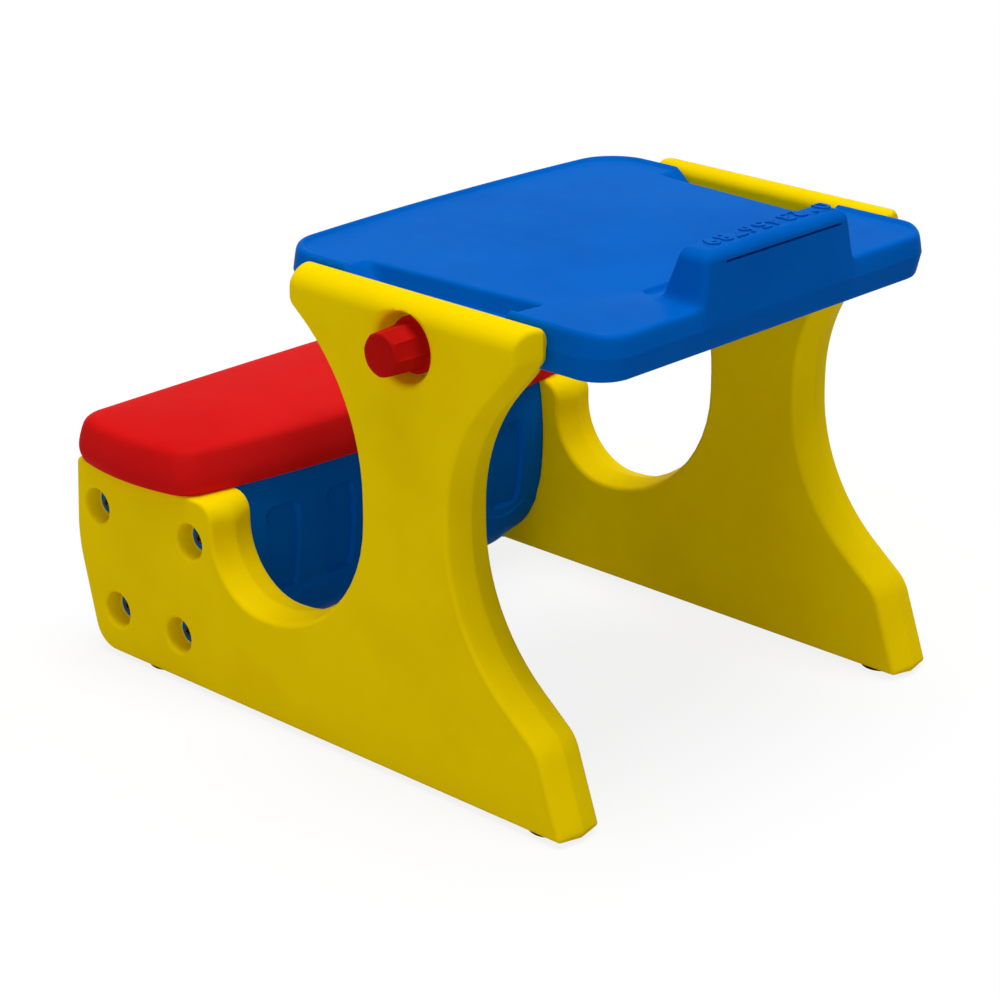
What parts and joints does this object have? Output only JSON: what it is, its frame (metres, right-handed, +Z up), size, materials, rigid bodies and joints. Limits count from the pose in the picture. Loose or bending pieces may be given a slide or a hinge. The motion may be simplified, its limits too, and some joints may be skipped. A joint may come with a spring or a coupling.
{
  "type": "kids table with storage",
  "caption": "Child's bench desk: moulded side panels carry a toy box under a lift-up seat lid and a desk top that tilts between hand knobs.",
  "frame": {"origin": "middle of the footprint, on the floor under the feet", "axes": "+X the way a seated child faces, from the bench to the desk; +Y to the child's left; +Z up"},
  "size_m": [0.692, 0.608, 0.524],
  "materials": {
    "yellow_plastic": "satin moulded",
    "blue_plastic": "satin moulded",
    "red_plastic": "satin moulded",
    "foot_rubber": "matte",
    "dark_steel": "blackened",
    "brass": "turned",
    "grey_plastic": "matte",
    "steel": "plain"
  },
  "bodies": {
    "frame": {"foot_front_left": "foot_rubber", "foot_front_right": "foot_rubber", "foot_rear_left": "foot_rubber", "foot_rear_right": "foot_rubber", "lid_hinge_pin_left": "steel", "lid_hinge_pin_right": "steel", "panel_screw_lower_front_left": "dark_steel", "panel_screw_lower_front_right": "dark_steel", "panel_screw_lower_rear_left": "dark_steel", "panel_screw_lower_rear_right": "dark_steel", "panel_screw_upper_front_left": "dark_steel", "panel_screw_upper_front_right": "dark_steel", "panel_screw_upper_rear_left": "dark_steel", "panel_screw_upper_rear_right": "dark_steel", "screw_washer_lower_front_left": "blue_plastic", "screw_washer_lower_front_right": "blue_plastic", "screw_washer_lower_rear_left": "blue_plastic", "screw_washer_lower_rear_right": "blue_plastic", "screw_washer_upper_front_left": "blue_plastic", "screw_washer_upper_front_right": "blue_plastic", "screw_washer_upper_rear_left": "blue_plastic", "screw_washer_upper_rear_right": "blue_plastic", "side_panel_left": "yellow_plastic", "side_panel_right": "yellow_plastic", "storage_box": "blue_plastic"},
    "lid": {"seat_lid": "red_plastic"},
    "desk": {"table_top": "blue_plastic", "desk_insert_right": "brass", "desk_insert_left": "brass"},
    "knob_right": {"tilt_knob_right": "red_plastic", "knob_stud_right": "steel", "knob_washer_right": "grey_plastic"},
    "knob_left": {"tilt_knob_left": "red_plastic", "knob_stud_left": "steel", "knob_washer_left": "grey_plastic"}
  },
  "joints": [
    {"name": "lid_hinge", "type": "hinge", "parent": "frame", "child": "lid", "pos_m": [-0.34, 0, 0.212], "axis": [0, -1, 0], "range_deg": [0, 95]},
    {"name": "desk_tilt", "type": "hinge", "parent": "frame", "child": "desk", "pos_m": [0.137, 0, 0.431], "axis": [0, -1, 0], "range_deg": [0, 20]},
    {"name": "knob_right_turn", "type": "hinge", "parent": "frame", "child": "knob_right", "pos_m": [0.137, -0.277, 0.431], "axis": [0, -1, 0], "continuous": true},
    {"name": "knob_left_turn", "type": "hinge", "parent": "frame", "child": "knob_left", "pos_m": [0.137, 0.277, 0.431], "axis": [0, 1, 0], "continuous": true}
  ]
}
